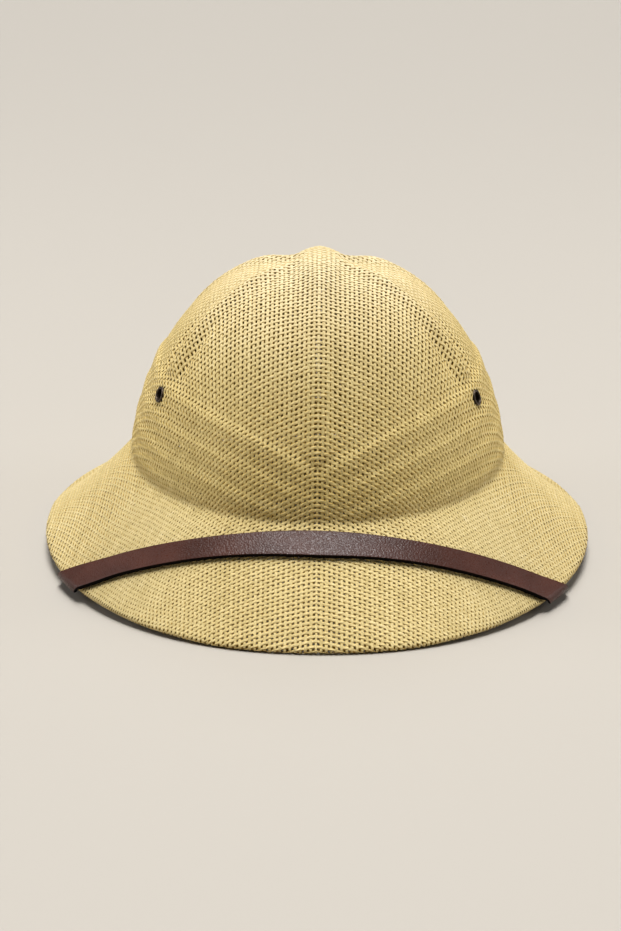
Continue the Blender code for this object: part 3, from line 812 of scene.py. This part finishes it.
leather = {
    "dark": (0.052, 0.017, 0.011),
    "light": (0.080, 0.027, 0.018),
    # near black: the blackened cut edge, darkened further as painted shade
    "edge": (0.004, 0.003, 0.003),
    "roughness": 0.40,
    "specular": 0.24,
    "grain": 0.00022,
}


def leatherMaterial():
    material = bpy.data.materials.new("dark brown strap leather")
    shader, add, join = nodeTree(material)
    tree = material.node_tree
    place = add("ShaderNodeTexCoord")
    pebble = add("ShaderNodeTexVoronoi", Scale=1100.0, feature="SMOOTH_F1", Smoothness=0.6)
    join(place, "Object", pebble, "Vector")
    cloud = add("ShaderNodeTexNoise", Scale=55.0, Detail=4.0)
    join(place, "Object", cloud, "Vector")
    fine = add("ShaderNodeTexNoise", Scale=1500.0, Detail=2.0)
    join(place, "Object", fine, "Vector")
    colour = add("ShaderNodeValToRGB")
    rampColours(colour, ((0.35, leather["dark"]), (0.7, leather["light"])))
    tree.links.new(cloud.outputs["Fac"], colour.inputs["Fac"])
    tree.links.new(colour.outputs[0], shader.inputs["Base Color"])
    rough = add("ShaderNodeMapRange")
    rough.inputs["From Min"].default_value = 0.36
    rough.inputs["From Max"].default_value = 0.64
    rough.inputs["To Min"].default_value = leather["roughness"] - 0.14
    rough.inputs["To Max"].default_value = leather["roughness"] + 0.18
    tree.links.new(fine.outputs["Fac"], rough.inputs["Value"])
    tree.links.new(rough.outputs[0], shader.inputs["Roughness"])
    shader.inputs["Specular IOR Level"].default_value = leather["specular"]
    bump = add("ShaderNodeBump", Strength=0.7, Distance=leather["grain"])
    tree.links.new(pebble.outputs["Distance"], bump.inputs["Height"])
    bump.invert = True
    join(bump, "Normal", shader, "Normal")
    return material


def cutEdgeMaterial():
    material = bpy.data.materials.new("blackened and shaded cut edge of the strap")
    shader, add, join = nodeTree(material)
    # the strap's cut edge: its own black finish with painted shade on top, near black and with little reflection
    shader.inputs["Base Color"].default_value = (*leather["edge"], 1.0)
    shader.inputs["Roughness"].default_value = 0.8
    shader.inputs["Specular IOR Level"].default_value = 0.05
    return material


# Chin strap: over the front brim, round the rim, under the brim and up the crown's inner wall
strap = {
    "width": 0.0147,
    "narrowWidth": 0.0106,
    "narrowing": 21.5,  # degrees
    "flare": (47.0, 8.0, 0.50),  # wider again at the rim: from where, over how many degrees, share regained
    "thickness": 0.0023,
    "frontShare": 0.200,
    "rimAngle": 53.9,
    "curvePower": 2.35,
    "sway": (1.7, 0.030),  # lies a little lopsided: degrees further round on the left, further out on the right
    "endAngle": 104.8,  # where it meets the stud
    "standOff": 0.0003,
    "levelFrom": 0.6,
    "bendRadius": 0.0009,
    "bendEnd": -135.0,
    "crossing": 0.020,
    "wallRun": 0.014,
    "frontRings": 84,
    "foldRings": 16,
    "underRings": 30,
    "wallRings": 12,
    "across": (-1.0, -0.985, -0.95, -0.75, -0.5, -0.25, 0.0, 0.25, 0.5, 0.75, 0.95, 0.985, 1.0),
    "edgeRound": (0.84, 0.96, 1.0),
}


def brimAt(azimuth, share):
    return Vector(brimPoint(np.array(float(azimuth)), np.array(float(share))))


def slantLength(azimuth):
    points = [brimAt(azimuth, i / 12) for i in range(13)]
    return sum((b - a).length for a, b in zip(points, points[1:]))


def paceAt(azimuth, share):
    step = 1e-3
    return (brimAt(azimuth + step, share) - brimAt(azimuth - step, share)).length / (2 * step)


def strapBend(azimuth):
    outward = normalOf(brimAt, azimuth, 1.0)
    start = math.asin(outward.z)
    radius = strap["bendRadius"] + strap["standOff"] + strap["thickness"] / 2
    return outward, start, radius, radius * (start - math.radians(strap["bendEnd"]))


def strapSeat(azimuth, run):
    slant = slantLength(azimuth)
    standOff = strap["standOff"] + strap["thickness"] / 2
    if run <= 0:
        share = 1 + run / slant
        normal = normalOf(brimAt, azimuth, share)
        return brimAt(azimuth, share) + normal * standOff, normal
    outward, start, radius, arc = strapBend(azimuth)
    flat = Vector((outward.x, outward.y, 0)).normalized()
    centre = brimAt(azimuth, 1.0) - outward * strap["bendRadius"]

    def onBend(angle):
        out = flat * math.cos(angle) + Vector((0, 0, math.sin(angle)))
        return centre + out * radius, out

    if run <= arc:
        return onBend(start - run / radius)
    share = 1 - strap["crossing"] / slant
    normal = normalOf(brimAt, azimuth, share)
    landing = brimAt(azimuth, share) - normal * (hat["wall"] + standOff)
    leaving, out = onBend(math.radians(strap["bendEnd"]))
    crossing = (landing - leaving).length
    beyond = run - arc - crossing
    if beyond < 0:
        way = 1 + beyond / crossing
        return leaving.lerp(landing, way), out.slerp(-normal, way)
    share -= beyond / slant
    if share >= 0:
        normal = normalOf(brimAt, azimuth, share)
        return brimAt(azimuth, share) - normal * (hat["wall"] + standOff), -normal
    lift = liftAtHeight(azimuth, float(junctionHeight(azimuth)) - share * slant)
    normal = normalOf(crownAt, azimuth, lift)
    return crownAt(azimuth, lift) - normal * (hat["wall"] + standOff), -normal


def strapStations(side):
    turn, out = strap["sway"]
    rimAzimuth = math.radians(strap["rimAngle"] - side * turn)
    front, power = strap["frontShare"], strap["curvePower"]
    stations = []
    for i in range(strap["frontRings"]):
        way = i / (strap["frontRings"] - 1)
        azimuth = rimAzimuth * way
        share = front + (1 - front) * way**power + side * out * way * (1 - way)
        slope = ((1 - front) * power * way ** (power - 1) + side * out * (1 - 2 * way)) / rimAzimuth
        slant = slantLength(azimuth)
        angle = math.atan2(slope * slant, paceAt(azimuth, share))
        stations.append((azimuth, (share - 1) * slant, angle, max(0.0, (way - strap["levelFrom"]) / (1 - strap["levelFrom"]))))
    azimuth, run, angle, level = stations[-1]
    arc = strapBend(azimuth)[3]
    slant = slantLength(azimuth)
    steps = [arc / strap["foldRings"]] * strap["foldRings"]
    steps += [slant / strap["underRings"]] * strap["underRings"]
    steps += [strap["wallRun"] / strap["wallRings"]] * strap["wallRings"]
    for number, step in enumerate(steps):
        share = min(1.0, max(0.0, 1 - (run - arc) / slantLength(azimuth)))
        azimuth += step / math.tan(angle) / paceAt(azimuth, share)
        run += step
        squared = (number + 1 - strap["foldRings"] - strap["underRings"]) / strap["wallRings"]
        stations.append((azimuth, run, angle, 1 - max(0.0, squared)))
    miss = (math.radians(strap["endAngle"]) - azimuth) / run
    return [(a + miss * max(0.0, r), r, g, level) for a, r, g, level in stations]


def strapRing(azimuth, run, angle, level):
    share = min(1.0, max(0.0, 1 - abs(run) / slantLength(azimuth)))
    slide = -level / math.tan(angle) if level else 0.0
    narrowed = 1 - math.exp(-((math.degrees(azimuth) / strap["narrowing"]) ** 2))
    start, reach, regained = strap["flare"]
    narrowed *= 1 - regained * float(smoothStep((math.degrees(azimuth) - start) / reach))
    half = (strap["width"] + (strap["narrowWidth"] - strap["width"]) * narrowed) / 2
    roundIt = (-math.sin(angle) + slide * math.cos(angle)) * half / paceAt(azimuth, share)
    downIt = (math.cos(angle) + slide * math.sin(angle)) * half
    ring = []
    across = strap["across"]
    for number, side in enumerate(across):
        point, normal = strapSeat(azimuth + side * roundIt, run + side * downIt)
        fromEdge = min(number, len(across) - 1 - number)
        half = strap["thickness"] / 2 * strap["edgeRound"][min(fromEdge, 2)]
        ring.append((point + normal * half, point - normal * half))
    return [p[0] for p in ring] + [p[1] for p in ring[::-1]]


def addStrap(material, edgeMaterial):
    right, mirrored = ([strapRing(*station) for station in strapStations(side)] for side in (1, -1))
    count = len(strap["across"])
    left = [[Vector((-p.x, p.y, p.z)) for p in ring] for ring in mirrored[:0:-1]]
    bm = bmesh.new()
    rings = left + right
    verts = [bm.verts.new(p) for p in rings[0]]
    edges = [bm.edges.new((verts[i - 1], verts[i])) for i in range(len(verts))]
    bm.faces.new(verts)
    for ring in rings[1:]:
        grown = bmesh.ops.extrude_edge_only(bm, edges=edges)["geom"]
        new = [v for v in grown if isinstance(v, bmesh.types.BMVert)]
        step = {}
        for vert in new:
            for edge in vert.link_edges:
                other = edge.other_vert(vert)
                if other in verts:
                    step[verts.index(other)] = vert
        verts = [step[i] for i in range(len(verts))]
        for vert, place in zip(verts, ring):
            vert.co = place
        edges = [bm.edges.get((verts[i - 1], verts[i])) for i in range(len(verts))]
        for cut in (edges[0], edges[1], edges[-1], edges[count - 1], edges[count], edges[count + 1]):
            for face in cut.link_faces:
                face.material_index = 1
    bm.faces.new(verts)
    bmesh.ops.recalc_face_normals(bm, faces=bm.faces)
    mesh = bpy.data.meshes.new("chin_strap_leather")
    bm.to_mesh(mesh)
    bm.free()
    mesh.shade_smooth()
    piece = addPiece("chin_strap_leather", mesh, material, "brown_leather", "chin_strap")
    mesh.materials.append(edgeMaterial)
    return piece


addStrap(leatherMaterial(), cutEdgeMaterial())
print("strap made")


metal = {"colour": (0.050, 0.036, 0.025), "worn": (0.17, 0.125, 0.085), "roughness": 0.36}


def metalMaterial():
    material = bpy.data.materials.new("dark bronzed metal")
    shader, add, join = nodeTree(material)
    tree = material.node_tree
    place = add("ShaderNodeTexCoord")
    wear = add("ShaderNodeTexNoise", Scale=420.0, Detail=5.0, Roughness=0.6)
    join(place, "Object", wear, "Vector")
    colour = add("ShaderNodeValToRGB")
    rampColours(colour, ((0.45, metal["colour"]), (0.75, metal["worn"])))
    tree.links.new(wear.outputs["Fac"], colour.inputs["Fac"])
    join(colour, "Color", shader, "Base Color")
    shader.inputs["Metallic"].default_value = 0.85
    rough = add("ShaderNodeMapRange")
    rough.inputs["To Min"].default_value = metal["roughness"] - 0.08
    rough.inputs["To Max"].default_value = metal["roughness"] + 0.15
    tree.links.new(wear.outputs["Fac"], rough.inputs["Value"])
    tree.links.new(rough.outputs[0], shader.inputs["Roughness"])
    bump = add("ShaderNodeBump", Strength=0.25, Distance=0.00005)
    tree.links.new(wear.outputs["Fac"], bump.inputs["Height"])
    join(bump, "Normal", shader, "Normal")
    return material


darkMetal = metalMaterial()


def spunPiece(name, profile, segments, seat, axis, material, slot, node):
    bm = bmesh.new()
    verts = [bm.verts.new((radius, 0.0, height)) for radius, height in profile]
    closed = profile[0][0] > 1e-6
    edges = [bm.edges.new((a, b)) for a, b in zip(verts, verts[1:] + (verts[:1] if closed else []))]
    bmesh.ops.spin(bm, geom=verts + edges, cent=(0, 0, 0), axis=(0, 0, 1), angle=2 * math.pi, steps=segments, use_merge=True)
    bmesh.ops.remove_doubles(bm, verts=bm.verts, dist=1e-7)
    bmesh.ops.recalc_face_normals(bm, faces=bm.faces)
    bmesh.ops.transform(bm, matrix=Matrix.Translation(seat) @ axis.to_track_quat("Z", "Y").to_matrix().to_4x4(), verts=bm.verts)
    mesh = bpy.data.meshes.new(name)
    bm.to_mesh(mesh)
    bm.free()
    mesh.shade_smooth()
    mesh.set_sharp_from_angle(angle=math.radians(40))
    return addPiece(name, mesh, material, slot, node)


def eyeletProfile():
    hole, barrel, flange = eyelet["hole"], eyelet["barrel"], eyelet["flange"]
    lip, height = eyelet["lip"], eyelet["flangeHeight"]
    inside = -hat["wall"] - eyelet["clearance"]
    middle, halfWidth = (hole + flange) / 2, (flange - hole) / 2
    profile = []
    for i in range(eyelet["rollSteps"] + 1):
        turn = math.pi * (1 - i / eyelet["rollSteps"])
        profile.append((middle + halfWidth * math.cos(turn), lip + height * math.sin(turn) ** 0.8 if i % eyelet["rollSteps"] else lip))
    inner = eyelet["innerFlange"]
    profile += [(barrel, lip), (barrel, inside), (inner, inside), (inner, inside - eyelet["innerFlangeHeight"] * 0.6)]
    profile += [(inner - 0.0003, inside - eyelet["innerFlangeHeight"]), (hole, inside - eyelet["innerFlangeHeight"])]
    return profile


for label, angle in eyelet["angles"].items():
    seat, axis = eyeletSeat(angle)
    spunPiece("rolled_eyelet_" + label, eyeletProfile(), eyelet["segments"], seat, axis, darkMetal, "dark_metal", "eyelet_" + label)

for label in ("right", "left"):
    node = bpy.data.objects.get("strap_stud_" + label)
    node.data.materials.clear()
    node.data.materials.append(darkMetal)
print("eyelets and studs made")

# Pale floor and soft studio light, mostly from overhead
studio = {
    "floor": (0.44, 0.405, 0.355),
    "floorSize": 9.0,
    "worldColour": (1.0, 0.985, 0.96),
    "world": 0.025,
    "aim": (0.0, 0.0, 0.06),
    "suns": {  # from where, strength and how wide the light is
        "overhead light": ((0.0, -0.06, 1.0), 3.05, 25.0),
        "rear light": ((0.0, 0.35, 1.0), 1.20, 30.0),
        "low rear light": ((0.0, 0.90, 1.0), 0.55, 30.0),
    },
    "lamps": {  # place, width and power
        "left lamp": ((-1.30, 0.10, 0.55), 0.80, 5.4),
        "right lamp": ((1.30, 0.10, 0.55), 0.80, 5.2),
    },
}


def addLamp(name, kind, place, power):
    lamp = bpy.data.lights.new(name, kind)
    lamp.energy = power
    held = bpy.data.objects.new(name, lamp)
    facing = (Vector(place) - Vector(studio["aim"])).to_track_quat("Z", "Y").to_matrix().to_4x4()
    held.matrix_world = Matrix.Translation(place) @ facing
    bpy.context.scene.collection.objects.link(held)
    return lamp


def setStage():
    bm = bmesh.new()
    bmesh.ops.create_grid(bm, x_segments=1, y_segments=1, size=studio["floorSize"])
    mesh = bpy.data.meshes.new("pale_floor")
    bm.to_mesh(mesh)
    bm.free()
    floor = bpy.data.objects.new("pale_floor", mesh)
    bpy.context.scene.collection.objects.link(floor)
    material = bpy.data.materials.new("pale floor")
    shader, add, join = nodeTree(material)
    shader.inputs["Base Color"].default_value = (*studio["floor"], 1.0)
    shader.inputs["Roughness"].default_value = 0.7
    mesh.materials.append(material)
    world = bpy.data.worlds.new("soft studio")
    world.use_nodes = True
    background = world.node_tree.nodes["Background"]
    background.inputs["Color"].default_value = (*studio["worldColour"], 1.0)
    background.inputs["Strength"].default_value = studio["world"]
    bpy.context.scene.world = world
    for name, (place, power, width) in studio["suns"].items():
        addLamp(name, "SUN", place, power).angle = math.radians(width)
    for name, (place, size, power) in studio["lamps"].items():
        lamp = addLamp(name, "AREA", place, power)
        lamp.shape, lamp.size = "DISK", size


view = {"elevation": 18.0, "roll": 0.55, "distance": 1.1329, "aim": 0.05, "lens": 125.8, "shift": (-0.0118, -0.0398)}


def setCamera():
    camera = bpy.data.cameras.new("photo view")
    camera.sensor_width = 36.0
    camera.sensor_fit = "HORIZONTAL"
    camera.lens = view["lens"]
    camera.shift_x, camera.shift_y = view["shift"]
    camera.clip_start, camera.clip_end = 0.05, 30.0
    held = bpy.data.objects.new("photo view", camera)
    up = math.radians(view["elevation"])
    place = Vector((0, -math.cos(up), math.sin(up))) * view["distance"] + Vector((0, 0, view["aim"]))
    look = Matrix.Rotation(math.radians(90) - up, 4, "X")
    held.matrix_world = Matrix.Translation(place) @ look @ Matrix.Rotation(math.radians(view["roll"]), 4, "Z")
    bpy.context.scene.collection.objects.link(held)
    bpy.context.scene.camera = held


setStage()
setCamera()
bpy.context.scene.view_settings.view_transform = "Standard"
